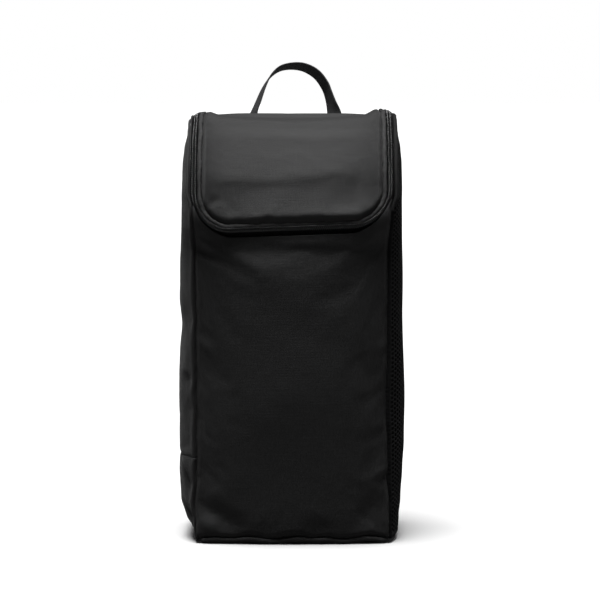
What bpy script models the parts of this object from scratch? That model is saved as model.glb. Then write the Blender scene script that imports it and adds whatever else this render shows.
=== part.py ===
"""Upright shoe bag: nylon front, back, base and left gusset, a spacer-mesh right gusset, and a lid
that is cut from one piece with the top. A coil zip runs from one rear top corner, along the top
edge, round the lid's front in a U and back to the other rear corner. A webbing loop hangs the bag.

Metres, +Z up, the front faces -Y. The origin is the middle of the base, on the surface that the
bag stands on. Every sheet of cloth is drawn at its folded, coated thickness.
"""

import math

import bmesh
import bpy
from mathutils import Matrix, Vector

# ---- driving dimensions -------------------------------------------------------------------------
HEIGHT = 0.378          # floor to the outside of the lid's flat top
HALF_DEPTH = 0.058      # outer faces of the front and back panels
HALF_WIDTH = 0.0868     # inner face of a gusset at the seams of the lower bag
MOUTH_FLARE = 0.0042    # how much further out the gussets stand beside the zip
FLARE_START = 0.262     # height where the gussets begin to stand out
FLARE_END = 0.312       # height where they have reached the zip's width
SIDE_BULGE = 0.0085     # how far a gusset swells between its seams
CLOTH = 0.0012          # sheet thickness: seam allowance, coating and cloth
GAP = 0.0003            # clearance between pieces that touch

ZIP_HALF_WIDTH = 0.0855  # middle of the chain from the bag's middle
ZIP_FRONT_HEIGHT = 0.280  # middle of the chain across the front
ZIP_CORNER = 0.033      # radius of the U's corners at the middle of the chain
COIL_RADIUS = 0.0010
COIL_OFFSET = 0.0019    # each half coil's distance from the middle of the chain
TAPE_INNER = 0.0030     # tape edge beside the coil
LID_TAPE_OUTER = 0.0120
BAG_TAPE_OUTER = 0.0052
TAPE_THICKNESS = 0.0008
LID_PIPING_RADIUS = 0.0020
LID_PIPING_OFFSET = 0.0066
WELT_RADIUS = 0.0014
WELT_OFFSET = 0.0068    # middle of a gusset's welt from the middle of the chain
LID_INSET = 0.0089      # lid panel's edge from the middle of the chain
FRONT_INSET = 0.0042    # front panel's upper edge from the middle of the chain

LEFT_SEAM_HEIGHT = 0.077  # cross seam of the left gusset
BASE_PIPING_RADIUS = 0.0018
BINDING_WIDTH = 0.0080
BINDING_THICKNESS = 0.0016

WEBBING_WIDTH = 0.015
WEBBING_THICKNESS = 0.0014
HANDLE_HALF_SPAN = 0.035
HANDLE_PIVOT_HEIGHT = 0.3684
HANDLE_RISE = 0.0598    # pivot to the top of the loop, along the leaning loop
HANDLE_LEAN = math.radians(24)
HANDLE_STEM = 0.0010    # loop's foot above the pivot
STITCHED_LENGTH = 0.018  # sewn end of the webbing on the back panel

SLIDER_LENGTH = 0.0105
SLIDER_HALF_WIDTH = 0.0043
SLIDER_Y = 0.0500       # parked at the rear end of the right-hand chain
PLATE_THICKNESS = 0.0012
CHANNEL_HALF_HEIGHT = 0.00165
TAB_LENGTH = 0.024
TAB_WIDTH = 0.0068
TAB_THICKNESS = 0.0012

# ---- values worked out from them ----------------------------------------------------------------
SKIN_OUT = CLOTH + 0.0007      # outside of a skin panel above the zip's plane
SKIN_MID = SKIN_OUT - CLOTH / 2
ZIP_TOP = HEIGHT - SKIN_OUT    # height of the zip's plane along the top
ZIP_FRONT = HALF_DEPTH - SKIN_OUT  # its distance from the middle across the front
SHOULDER = ZIP_FRONT           # radius of the top's front curve in the zip's plane
SHOULDER_HEIGHT = ZIP_TOP - SHOULDER
CURVE_START = ZIP_FRONT        # length along the profile where the shoulder begins
CURVE_END = CURVE_START + SHOULDER * math.pi / 2
ZIP_BOTTOM = CURVE_END + SHOULDER_HEIGHT - ZIP_FRONT_HEIGHT
BACK_MID = HALF_DEPTH - CLOTH / 2
HINGE_Y = BACK_MID
HINGE_Z = ZIP_TOP + SKIN_MID
MOUTH_HALF_WIDTH = HALF_WIDTH + MOUTH_FLARE

NYLON = ("nylon", (0.022, 0.022, 0.024), 0.72, 0.0)
MESH = ("spacer_mesh", (0.012, 0.012, 0.013), 0.85, 0.0)
TAPE = ("zip_tape", (0.020, 0.020, 0.021), 0.80, 0.0)
COIL = ("zip_coil", (0.016, 0.016, 0.017), 0.42, 0.0)
WEBBING = ("webbing", (0.024, 0.024, 0.025), 0.78, 0.0)
BINDING = ("binding", (0.018, 0.018, 0.019), 0.80, 0.0)
METAL = ("painted_zinc", (0.030, 0.030, 0.031), 0.35, 1.0)


def clear_scene():
    for obj in list(bpy.data.objects):
        bpy.data.objects.remove(obj)


def new_collection(name):
    collection = bpy.data.collections.new(name)
    bpy.context.scene.collection.children.link(collection)
    return collection


def material(finish):
    """The Principled material of one of the finishes above, made once."""
    name, colour, roughness, metallic = finish
    found = bpy.data.materials.get(name)
    if found:
        return found
    made = bpy.data.materials.new(name)
    made.use_nodes = True
    shader = made.node_tree.nodes["Principled BSDF"]
    shader.inputs["Base Color"].default_value = (*colour, 1.0)
    shader.inputs["Roughness"].default_value = roughness
    shader.inputs["Metallic"].default_value = metallic
    made.diffuse_color = (*colour, 1.0)
    return made


def add_object(name, data, finish, parent=None, collection=None):
    obj = bpy.data.objects.new(name, data)
    (collection or PARTS).objects.link(obj)
    if parent:
        obj.parent = parent
        obj.matrix_parent_inverse = Matrix.Translation(parent.location).inverted()
    obj.data.materials.append(material(finish))
    return obj


def axis_empty(name, location):
    """An empty on a joint's axis, which the pieces of that moving body are parented to."""
    empty = bpy.data.objects.new(name, None)
    empty.location = location
    PARTS.objects.link(empty)
    return empty


# ---- shape helpers ------------------------------------------------------------------------------
def smooth(t):
    t = min(1.0, max(0.0, t))
    return t * t * (3 - 2 * t)


def sheet(name, columns, rows, place, finish, parent=None, thickness=CLOTH):
    """A sheet of cloth: a grid whose point (u, v), each 0 to 1, goes to place(u, v)."""
    mesh = bpy.data.meshes.new(name)
    bm = bmesh.new()
    bmesh.ops.create_grid(bm, x_segments=columns, y_segments=rows, size=0.5)
    for vert in bm.verts:
        vert.co = place(vert.co.x + 0.5, vert.co.y + 0.5)
    bm.to_mesh(mesh)
    bm.free()
    mesh.shade_smooth()
    obj = add_object(name, mesh, finish, parent)
    solidify = obj.modifiers.new("thickness", "SOLIDIFY")
    solidify.thickness = thickness
    solidify.offset = 0.0
    solidify.use_even_offset = True
    return obj


def tube(name, points, radius, finish, parent=None, closed=False):
    """A round cord along the points."""
    curve = bpy.data.curves.new(name, "CURVE")
    curve.dimensions = "3D"
    curve.bevel_depth = radius
    curve.bevel_resolution = 2
    curve.use_fill_caps = True
    spline = curve.splines.new("POLY")
    spline.points.add(len(points) - 1)
    for place, point in zip(spline.points, points):
        place.co = (*point, 1.0)
    spline.use_cyclic_u = closed
    spline.use_smooth = True
    return add_object(name, curve, finish, parent)


def outline_plate(name, loops, thickness, finish, matrix, parent=None):
    """A flat plate with the given outline, and holes where there is more than one loop."""
    curve = bpy.data.curves.new(name, "CURVE")
    curve.dimensions = "2D"
    curve.fill_mode = "BOTH"
    curve.extrude = thickness / 2
    for loop in loops:
        spline = curve.splines.new("POLY")
        spline.points.add(len(loop) - 1)
        for place, (x, y) in zip(spline.points, loop):
            place.co = (x, y, 0.0, 1.0)
        spline.use_cyclic_u = True
    obj = add_object(name, curve, finish, parent)
    obj.matrix_basis = matrix
    return obj


def block(name, low, high, finish, parent=None, bevel=0.0, collection=None):
    """A box between two corners, with rounded edges if bevel is given."""
    low, high = Vector(low), Vector(high)
    mesh = bpy.data.meshes.new(name)
    bm = bmesh.new()
    bmesh.ops.create_cube(bm, size=1.0)
    bmesh.ops.scale(bm, vec=high - low, verts=bm.verts)
    bmesh.ops.translate(bm, vec=(low + high) / 2, verts=bm.verts)
    bm.to_mesh(mesh)
    bm.free()
    obj = add_object(name, mesh, finish, parent, collection)
    if bevel:
        rounding = obj.modifiers.new("rounding", "BEVEL")
        rounding.width = bevel
        rounding.segments = 2
    return obj


def unite(target, tools):
    """Joins helper solids, which aren't parts themselves, to target."""
    for tool in tools:
        tool.hide_render = True
        tool.display_type = "WIRE"
        union = target.modifiers.new("with_" + tool.name, "BOOLEAN")
        union.operation = "UNION"
        union.object = tool


def arc(centre, radius, start, end, steps):
    """Points on a circle in a plane, from start to end in degrees, both ends included."""
    angles = [math.radians(start + (end - start) * i / steps) for i in range(steps + 1)]
    return [(centre[0] + radius * math.cos(a), centre[1] + radius * math.sin(a)) for a in angles]


# ---- the surface that the zip lies in -----------------------------------------------------------
def on_top(x, along, out=0.0):
    """The point at x, at a length along the side profile from the hinge line forwards and down,
    and out from the zip's plane."""
    if along <= CURVE_START:
        return Vector((x, ZIP_FRONT - along, ZIP_TOP + out))
    if along >= CURVE_END:
        return Vector((x, -ZIP_FRONT - out, SHOULDER_HEIGHT - (along - CURVE_END)))
    turn = (along - CURVE_START) / SHOULDER
    reach = SHOULDER + out
    return Vector((x, -reach * math.sin(turn), SHOULDER_HEIGHT + reach * math.cos(turn)))


def zip_line(inset, start_left, start_right, side_steps=22, corner_steps=6):
    """The U of the zip in (x, along), moved in from the middle of the chain by inset.
    It runs from the left rear to the right rear; each start is a length from the hinge line."""
    side = ZIP_HALF_WIDTH - inset
    corner = ZIP_CORNER - inset
    turn = ZIP_BOTTOM - ZIP_CORNER
    down = [(-side, start_left + (turn - start_left) * i / side_steps) for i in range(side_steps)]
    left = [(-x, along) for x, along in arc((side - corner, turn), corner, 0, 90, corner_steps)]
    right = [(-x, along) for x, along in reversed(left)]
    up = [(side, start_right + (turn - start_right) * i / side_steps) for i in range(side_steps)]
    return down + left + right + up[::-1]


def zip_tube(name, inset, out, radius, start_left, start_right, finish, parent=None):
    line = zip_line(inset, start_left, start_right)
    return tube(name, [on_top(x, along, out) for x, along in line], radius, finish, parent)


def zip_strip(name, inner, outer, start_left, start_right, parent=None):
    """A zip tape: a strip in the zip's plane between two insets."""
    near = zip_line(inner, start_left, start_right)
    far = zip_line(outer, start_left, start_right)
    last = len(near) - 1

    def place(u, v):
        i = round(u * last)
        x = near[i][0] + (far[i][0] - near[i][0]) * v
        along = near[i][1] + (far[i][1] - near[i][1]) * v
        return on_top(x, along)

    return sheet(name, last, 1, place, TAPE, parent, TAPE_THICKNESS)


# ---- the bag's own panels -----------------------------------------------------------------------
def edge_x(z):
    """Inner face of a gusset at its front and rear seams, at a height."""
    return HALF_WIDTH + MOUTH_FLARE * smooth((z - FLARE_START) / (FLARE_END - FLARE_START))


def gusset_x(y, z):
    """Middle of a gusset's cloth: its seams, and the swelling between them."""
    across = 1 - (y / HALF_DEPTH) ** 2
    upward = smooth(z / 0.06) * (1 - 0.85 * smooth((z - 0.20) / (HEIGHT - 0.20)))
    return edge_x(z) + CLOTH / 2 + SIDE_BULGE * across * upward


def gusset_row(v, low, high, arc_share=0.3):
    """Height and front edge of a gusset's row v. Above the shoulder the rows follow its curve."""
    if high <= SHOULDER_HEIGHT:
        return low + (high - low) * v, -HALF_DEPTH
    if v <= 1 - arc_share:
        return low + (SHOULDER_HEIGHT - low) * v / (1 - arc_share), -HALF_DEPTH
    turn = (v - 1 + arc_share) / arc_share * math.pi / 2
    reach = SHOULDER + SKIN_OUT
    return SHOULDER_HEIGHT + reach * math.sin(turn), -reach * math.cos(turn)


def gusset(name, side, low, high, rows, finish):
    """One side panel between two heights; side is -1 for the left and 1 for the right."""

    def place(u, v):
        z, front = gusset_row(v, low, high)
        y = front + (HALF_DEPTH - front) * u
        return Vector((side * gusset_x(y, z), y, z))

    return sheet(name, 10, rows, place, finish)


def side_edge(top, steps):
    """A panel's right-hand edge in (x, z) from the floor to top, just inside the gusset."""
    heights = [0.0] + [FLARE_START + (top - FLARE_START) * i / steps for i in range(steps + 1)]
    return [(edge_x(z) - GAP, z) for z in heights]


def mirrored(points):
    return [(-x, z) for x, z in reversed(points)]


def front_panel():
    """The lower front, whose upper edge follows the zip's U."""
    corner = ZIP_CORNER + FRONT_INSET
    centre = (ZIP_HALF_WIDTH - ZIP_CORNER, ZIP_FRONT_HEIGHT + ZIP_CORNER)
    right = side_edge(FLARE_END, 4)
    right += [(x, min(z, FLARE_END)) for x, z in arc(centre, corner, 0, -90, 8)]
    upright = Matrix.Translation((0, CLOTH / 2 - HALF_DEPTH, 0)) @ Matrix.Rotation(math.pi / 2, 4, "X")
    return outline_plate("front_panel", [right + mirrored(right)], CLOTH, NYLON, upright)


def back_panel():
    right = side_edge(HINGE_Z - 0.0015, 6)
    upright = Matrix.Translation((0, BACK_MID, 0)) @ Matrix.Rotation(math.pi / 2, 4, "X")
    return outline_plate("back_panel", [right + mirrored(right)], CLOTH, NYLON, upright)


def base_panel():
    half_x = HALF_WIDTH - GAP
    half_y = HALF_DEPTH - CLOTH - GAP
    block("base_panel", (-half_x, -half_y, 0), (half_x, half_y, CLOTH), NYLON)


def base_piping():
    """The piped seam round the outside of the base."""
    reach = BASE_PIPING_RADIUS + GAP
    half_x = HALF_WIDTH + CLOTH + reach + 0.0002
    half_y = HALF_DEPTH + reach
    corner = 0.0026
    quarter = arc((half_x - corner, half_y - corner), corner, 0, 90, 5)
    points = quarter + [(-x, y) for x, y in reversed(quarter)]
    points += [(-x, -y) for x, y in quarter]
    points += [(x, -y) for x, y in reversed(quarter)]
    height = BASE_PIPING_RADIUS + GAP
    ring = [(x, y, height) for x, y in points]
    return tube("base_piping", ring, BASE_PIPING_RADIUS, NYLON, closed=True)


def seam_bindings():
    """Tapes folded over the raw seams inside: four uprights, one round the base, one at the hinge."""
    inner_y = HALF_DEPTH - CLOTH - GAP
    inner_x = HALF_WIDTH - 2 * GAP
    foot = CLOTH + 0.0105
    for end, sign, top in (("front", -1, 0.265), ("back", 1, 0.366)):
        ys = sorted((sign * inner_y, sign * (inner_y - BINDING_THICKNESS)))
        for side, hand in (("left", -1), ("right", 1)):
            xs = sorted((hand * inner_x, hand * (inner_x - BINDING_WIDTH)))
            low, high = (xs[0], ys[0], foot), (xs[1], ys[1], top)
            block(f"{end}_{side}_seam_binding", low, high, BINDING, bevel=0.0005)
    ring = []
    for reach in (0.0, BINDING_THICKNESS):
        half_x, half_y = inner_x - reach, inner_y - reach
        ring.append([(half_x, half_y), (-half_x, half_y), (-half_x, -half_y), (half_x, -half_y)])
    middle = Matrix.Translation((0, 0, CLOTH + GAP + BINDING_WIDTH / 2))
    outline_plate("base_seam_binding", ring, BINDING_WIDTH, BINDING, middle)
    top = ZIP_TOP - TAPE_THICKNESS / 2 - GAP
    reach = ZIP_HALF_WIDTH - LID_TAPE_OUTER - 0.002
    low = (-reach, inner_y - BINDING_WIDTH, top - BINDING_THICKNESS)
    block("hinge_seam_binding", low, (reach, inner_y, top), BINDING, bevel=0.0005)


# ---- the zip ------------------------------------------------------------------------------------
REAR_START = 0.002                       # the chain's rear end, from the hinge line
LID_RIGHT_START = ZIP_FRONT - SLIDER_Y + SLIDER_LENGTH / 2 + 0.0015  # clear of the parked slider


def bag_zip():
    zip_strip("bag_zip_tape", -BAG_TAPE_OUTER, -TAPE_INNER, REAR_START, REAR_START)
    zip_tube("bag_zip_coil", -COIL_OFFSET, 0, COIL_RADIUS, REAR_START + 0.003, REAR_START + 0.003, COIL)
    over_cloth = SKIN_OUT + GAP + WELT_RADIUS
    welt_end = CURVE_END + SHOULDER_HEIGHT - FLARE_END
    for side, hand in (("left", -1), ("right", 1)):
        x = hand * (ZIP_HALF_WIDTH + WELT_OFFSET)
        points = [on_top(x, welt_end * i / 20, over_cloth) for i in range(21)]
        tube(f"{side}_mouth_welt", points, WELT_RADIUS, NYLON)
        xs = sorted((hand * (ZIP_HALF_WIDTH + 0.0008), hand * (ZIP_HALF_WIDTH + TAPE_INNER - 0.0002)))
        rear = ZIP_FRONT - REAR_START
        low = (xs[0], rear - 0.0022, ZIP_TOP - 0.0013)
        block(f"{side}_zip_stop", low, (xs[1], rear, ZIP_TOP + 0.0013), METAL, bevel=0.0003)


def slider_block(name, low, high, bevel=0.0):
    """A helper solid of the slider, in lengths across, back and out from its middle."""
    centre = Vector((ZIP_HALF_WIDTH, SLIDER_Y, ZIP_TOP))
    return block(name, centre + Vector(low), centre + Vector(high), METAL, None, bevel, HELPERS)


def zip_slider(parent):
    """Two plates joined by the post that parts the coils, edge flanges, and a bridge for the tab."""
    half, wide = SLIDER_LENGTH / 2, SLIDER_HALF_WIDTH
    plate_in, plate_out = CHANNEL_HALF_HEIGHT, CHANNEL_HALF_HEIGHT + PLATE_THICKNESS
    centre = Vector((ZIP_HALF_WIDTH, SLIDER_Y, ZIP_TOP))
    low = centre + Vector((-wide, -half, plate_in))
    slider = block("zip_slider", low, centre + Vector((wide, half, plate_out)), METAL, parent, 0.0004)
    tools = [
        slider_block("slider_lower_plate", (-wide, -half, -plate_out), (wide, half, -plate_in), 0.0004),
        slider_block("slider_post", (-0.0005, -half + 0.001, -plate_out + 0.0002),
                     (0.0005, -half + 0.0045, plate_out - 0.0002)),
    ]
    lip_out, lip_in = plate_in + 0.0002, TAPE_THICKNESS / 2 + GAP
    for hand in (-1, 1):
        for up in (-1, 1):
            xs = sorted((hand * (wide - 0.0001), hand * (wide - 0.0009)))
            zs = sorted((up * lip_out, up * lip_in))
            low, high = (xs[0], -half + 0.0006, zs[0]), (xs[1], half - 0.0006, zs[1])
            tools.append(slider_block(f"slider_lip_{hand}_{up}", low, high))
    bridge_top = plate_out + BRIDGE_GAP + 0.0012
    for y in (-BRIDGE_REACH, BRIDGE_REACH - 0.0012):
        leg_low = (-0.001, y, plate_out - 0.0003)
        tools.append(slider_block(f"slider_leg_{y:.4f}", leg_low, (0.001, y + 0.0012, bridge_top - 0.0001)))
    bar_low = (-0.001, -BRIDGE_REACH, bridge_top - 0.0012)
    tools.append(slider_block("slider_bridge", bar_low, (0.001, BRIDGE_REACH, bridge_top)))
    unite(slider, tools)
    return slider


BRIDGE_REACH = 0.0036   # bridge's ends from the slider's middle
BRIDGE_GAP = 0.0022     # room under the bridge for the tab's crossbar
TAB_PIVOT = Vector((
    ZIP_HALF_WIDTH,
    SLIDER_Y + 0.0014,
    ZIP_TOP + CHANNEL_HALF_HEIGHT + PLATE_THICKNESS + BRIDGE_GAP / 2,
))


def rounded_rectangle(low, high, corner, steps=4):
    (x0, y0), (x1, y1) = low, high
    points = arc((x1 - corner, y1 - corner), corner, 0, 90, steps)
    points += arc((x0 + corner, y1 - corner), corner, 90, 180, steps)
    points += arc((x0 + corner, y0 + corner), corner, 180, 270, steps)
    points += arc((x1 - corner, y0 + corner), corner, 270, 360, steps)
    return points


def pull_tab(parent):
    """A flat tab with a window at its root that hooks round the slider's bridge, and a finger hole."""
    half, bar = TAB_WIDTH / 2, TAB_THICKNESS / 2
    loops = [
        rounded_rectangle((-half, -bar), (half, TAB_LENGTH), 0.0005),
        rounded_rectangle((-half + 0.0015, bar), (half - 0.0015, 0.0068), 0.0004),
        rounded_rectangle((-half + 0.0018, TAB_LENGTH - 0.0062), (half - 0.0018, TAB_LENGTH - 0.0022), 0.0015),
    ]
    plate = Matrix.Translation(TAB_PIVOT)
    return outline_plate("pull_tab", loops, TAB_THICKNESS, METAL, plate, parent)


# ---- the lid ------------------------------------------------------------------------------------
def lid_panel(parent):
    """Top and upper front in one piece, with the U's rounded corners."""
    side = ZIP_HALF_WIDTH - LID_INSET
    corner = ZIP_CORNER - LID_INSET
    turn = ZIP_BOTTOM - ZIP_CORNER
    straight_share = 0.75

    def place(u, v):
        if v <= straight_share:
            along = -0.0003 + (turn + 0.0003) * v / straight_share
            half = side
        else:
            angle = (v - straight_share) / (1 - straight_share) * math.pi / 2
            along = turn + corner * math.sin(angle)
            half = side - corner * (1 - math.cos(angle))
        return on_top((2 * u - 1) * half, along, SKIN_MID)

    return sheet("lid_panel", 8, 24, place, NYLON, parent)


def lid_trim(parent):
    zip_strip("lid_zip_tape", TAPE_INNER, LID_TAPE_OUTER, REAR_START + 0.002, LID_RIGHT_START, parent)
    zip_tube("lid_zip_coil", COIL_OFFSET, 0, COIL_RADIUS, REAR_START + 0.003, LID_RIGHT_START, COIL, parent)
    over_tape = TAPE_THICKNESS / 2 + GAP + LID_PIPING_RADIUS
    zip_tube("lid_piping", LID_PIPING_OFFSET, over_tape, LID_PIPING_RADIUS, 0.003, 0.003, NYLON, parent)


# ---- the handle ---------------------------------------------------------------------------------
def handle_point(t):
    """The loop's middle line, t from 0 at the left foot to 1 at the right, as (x, rise)."""
    angle = math.pi * t
    x = -HANDLE_HALF_SPAN * math.copysign(abs(math.cos(angle)) ** 0.85, math.cos(angle))
    return x, HANDLE_STEM + (HANDLE_RISE - HANDLE_STEM) * math.sin(angle) ** 0.9


def handle_loop(parent):
    """A webbing loop. It is flat on the back at its feet and turns edge-on over the top."""
    pivot = parent.location
    up = Vector((0, math.sin(HANDLE_LEAN), math.cos(HANDLE_LEAN)))
    out = Vector((0, math.cos(HANDLE_LEAN), -math.sin(HANDLE_LEAN)))
    across = Vector((1, 0, 0))

    def middle(t):
        x, rise = handle_point(t)
        return pivot + across * x + up * rise

    def place(u, v):
        ahead, behind = middle(min(1, u + 0.01)), middle(max(0, u - 0.01))
        run = (ahead - behind).normalized()
        if u in (0.0, 1.0):
            run = up if u == 0.0 else -up
        rise = handle_point(u)[1]
        twist = math.radians(60) * smooth((rise - 0.002) / 0.020)
        twist += math.radians(30) * smooth((rise - 0.022) / (HANDLE_RISE - 0.022))
        flat = run.cross(out).normalized()
        width = flat * math.cos(twist) + out * math.sin(twist)
        return middle(u) + width * WEBBING_WIDTH * (v - 0.5)

    return sheet("handle_loop", 36, 2, place, WEBBING, parent, WEBBING_THICKNESS)


def handle_anchors():
    """The loop's two sewn ends outside the back panel, and the strip inside that takes the stitches."""
    top = HANDLE_PIVOT_HEIGHT - 0.0012
    back = HALF_DEPTH + GAP
    for side, hand in (("left", -1), ("right", 1)):
        x = hand * HANDLE_HALF_SPAN
        low = (x - WEBBING_WIDTH / 2, back, top - STITCHED_LENGTH)
        high = (x + WEBBING_WIDTH / 2, back + WEBBING_THICKNESS, top)
        block(f"{side}_handle_end", low, high, WEBBING, bevel=0.0004)
    inner = HALF_DEPTH - CLOTH - GAP
    reach = HANDLE_HALF_SPAN + WEBBING_WIDTH / 2 + 0.004
    low = (-reach, inner - 0.0012, top - STITCHED_LENGTH - 0.002)
    block("handle_backing_strip", low, (reach, inner, top), WEBBING, bevel=0.0004)


def build():
    front_panel()
    back_panel()
    base_panel()
    gusset("left_gusset_lower", -1, 0.0, LEFT_SEAM_HEIGHT - 0.0002, 6, NYLON)
    gusset("left_gusset_upper", -1, LEFT_SEAM_HEIGHT + 0.0002, HEIGHT, 20, NYLON)
    gusset("right_mesh_gusset", 1, 0.0, HEIGHT, 24, MESH)
    base_piping()
    seam_bindings()
    handle_anchors()
    bag_zip()
    lid = axis_empty("lid_axis", (0, HINGE_Y, HINGE_Z))
    lid_panel(lid)
    lid_trim(lid)
    slider = axis_empty("slider_axis", (ZIP_HALF_WIDTH, SLIDER_Y, ZIP_TOP))
    zip_slider(slider)
    pull = axis_empty("pull_axis", TAB_PIVOT)
    pull_tab(pull)
    handle_y = HALF_DEPTH + GAP + WEBBING_THICKNESS / 2
    handle = axis_empty("handle_axis", (0, handle_y, HANDLE_PIVOT_HEIGHT))
    handle_loop(handle)


clear_scene()
PARTS = new_collection("shoe_bag")
HELPERS = new_collection("helpers")
build()
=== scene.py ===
"""Looks for the upright zipped shoe bag: cloth panels, coil zip, mesh side and webbing loop."""
import math

import bpy
import numpy as np
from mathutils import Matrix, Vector, noise


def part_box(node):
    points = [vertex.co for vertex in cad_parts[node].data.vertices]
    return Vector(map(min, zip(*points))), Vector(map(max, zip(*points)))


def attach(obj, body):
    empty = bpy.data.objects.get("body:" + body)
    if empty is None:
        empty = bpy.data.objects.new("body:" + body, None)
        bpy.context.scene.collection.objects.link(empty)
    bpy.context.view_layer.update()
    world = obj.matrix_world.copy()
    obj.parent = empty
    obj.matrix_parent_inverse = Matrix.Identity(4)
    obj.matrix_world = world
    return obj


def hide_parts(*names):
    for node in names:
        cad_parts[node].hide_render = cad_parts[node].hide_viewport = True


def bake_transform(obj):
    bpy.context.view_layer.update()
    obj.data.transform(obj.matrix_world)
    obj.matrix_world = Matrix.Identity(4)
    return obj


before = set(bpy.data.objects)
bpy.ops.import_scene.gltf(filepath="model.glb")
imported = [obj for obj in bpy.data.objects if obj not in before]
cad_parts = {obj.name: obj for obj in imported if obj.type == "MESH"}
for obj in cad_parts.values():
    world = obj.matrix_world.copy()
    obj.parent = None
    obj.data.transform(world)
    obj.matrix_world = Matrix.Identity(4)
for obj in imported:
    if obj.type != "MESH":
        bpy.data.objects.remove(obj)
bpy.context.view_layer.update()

# ---- sizes taken from the CAD nodes
FRONT_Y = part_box("front_panel")[0].y
BACK_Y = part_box("back_panel")[1].y
TOP_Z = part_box("lid_panel")[1].z
TAPE_LOW, TAPE_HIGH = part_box("bag_zip_tape")
CHAIN_X = (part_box("zip_slider")[0].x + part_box("zip_slider")[1].x) / 2
TAPE_HALF_THICKNESS = 0.0004
ZIP_TOP = TAPE_HIGH.z - TAPE_HALF_THICKNESS      # height of the zip's plane along the top
ZIP_FRONT = -TAPE_LOW.y - TAPE_HALF_THICKNESS    # its distance from the middle across the front
TAPE_EDGE_X = TAPE_HIGH.x
WIDE_X = CHAIN_X + 0.0013    # the chain's place beside the lid, past the slider
CHAIN_CORNER = 0.033
CHAIN_BOTTOM_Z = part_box("bag_zip_coil")[0].z + 0.0052
SLIDER_FRONT = ZIP_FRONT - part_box("zip_slider")[0].y + 0.0015

SHOULDER = ZIP_FRONT
SHOULDER_Z = ZIP_TOP - SHOULDER
CURVE_START = ZIP_FRONT
CURVE_END = CURVE_START + SHOULDER * math.pi / 2
ZIP_BOTTOM = CURVE_END + SHOULDER_Z - CHAIN_BOTTOM_Z

# ---- how the real cloth differs from the plain solids
LEAN_START = CURVE_START + 0.049    # where the lid's shoulder begins to lean forward
LEAN_OUT = 0.0178        # how far it leans out by its lower edge
SHOULDER_SINK = 0.0046   # how far its shoulder lies behind the plain curve
OVERHANG = LEAN_OUT - SHOULDER_SINK
LOWER_EDGE_TILT = 0.034  # the lid's lower edge rises towards the right
FRONT_TAPE_WIDTH = 0.0068
SIDE_TAPE_WIDTH = TAPE_EDGE_X - WIDE_X
BULGE = 0.0097           # how far the filled front panel stands out in its middle
LID_EDGE = 0.0072        # lid cloth's edge from the middle of the chain
LID_DROP = 0.0020        # how much nearer it comes along the lid's lower edge
FACING = 0.0052          # middle of the rolled facing, from the middle of the chain
FRONT_FACING = 0.0043    # the same along the lid's lower edge, where it hides half the chain
SEAM_TUCK = 0.0038       # how deep the cloth turns in at a seam
SEAM_ROLL = 0.0014       # how near the seam it starts to turn
TOOTH_PITCH = 0.00176
CLOTH = 0.0007           # thickness of the nylon
INSET = 0.0006           # the cloth's middle lies this far inside the CAD's outer faces
GUSSET_FOOT = 0.0042     # height of the gussets' lower edges
FOOT_HALF_X = 0.0868     # half the bag's width between the base seams
BACK_HALF_X = 0.0872     # half the back's width between its seams
MOUTH_Z = 0.262          # from this height up the seams follow the lid

# (height, distance from the middle) in millimetres: the front seams, and the gussets' widest lines
LEFT_SEAM = ((0, 85.5), (10, 86.8), (36, 87.6), (60, 86.2), (89, 85.3), (125, 85.1), (195, 85.6),
             (262, 86.2), (302, 88.4), (314, 90.4))
RIGHT_SEAM = ((0, 86.8), (36, 86.8), (60, 85.6), (89, 84.8), (125, 83.2), (165, 84.2), (262, 84.6),
              (300, 87.5), (314, 90.4))
LEFT_SIDE = ((0, 86.0), (7, 87.2), (14, 90.0), (21, 94.8), (36, 100.3), (64, 102.0), (126, 102.0),
             (200, 100.6), (311, 99.4), (337, 98.6), (352, 97.4), (362, 95.4), (372, 91.8), (378, 89.6))
RIGHT_SIDE = ((0, 91.5), (7, 96.0), (20, 96.8), (36, 98.5), (64, 99.8), (89, 101.2), (126, 101.6),
              (214, 99.5), (267, 99.5), (311, 98.6), (337, 97.8), (352, 97.0), (364, 95.4), (378, 92.5))


def smooth(t):
    t = min(1.0, max(0.0, t))
    return t * t * (3 - 2 * t)


def mix(a, b, t):
    return a + (b - a) * t


def bell(distance, width):
    return math.exp(-(distance / width) ** 2)


def along_curve(pairs, at):
    """A smooth reading, in metres, between listed pairs of (position, value) in millimetres."""
    at *= 1000
    if at <= pairs[0][0]:
        return pairs[0][1] / 1000
    for (a, low), (b, high) in zip(pairs, pairs[1:]):
        if at <= b:
            return mix(low, high, smooth((at - a) / (b - a))) / 1000
    return pairs[-1][1] / 1000


def crowd(t, amount=1.6):
    """Spaces 0 to 1 so that the steps are finer at both ends."""
    return 0.5 * (1 + math.tanh(amount * (2 * t - 1)) / math.tanh(amount))


def ripple(a, b, scale, seed):
    """Smooth noise, about -1 to 1, that is the same on each run."""
    return noise.noise(Vector((a * scale, b * scale, seed * 7.31)))


# ---- materials
def new_material(name, roughness, metallic=0.0, specular=0.5, sheen=0.0):
    material = bpy.data.materials.new(name)
    material.use_nodes = True
    shader = material.node_tree.nodes["Principled BSDF"]
    for socket, value in (
        ("Roughness", roughness),
        ("Metallic", metallic),
        ("Specular IOR Level", specular),
        ("Sheen Weight", sheen),
        ("Sheen Roughness", 0.5),
    ):
        shader.inputs[socket].default_value = value
    return material, material.node_tree, shader


def calc(tree, operation, first, second=None, third=None):
    node = tree.nodes.new("ShaderNodeMath")
    node.operation = operation
    for socket, value in zip(node.inputs, (first, second, third)):
        if value is None:
            continue
        if isinstance(value, (int, float)):
            socket.default_value = value
        else:
            tree.links.new(value, socket)
    return node.outputs[0]


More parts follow.
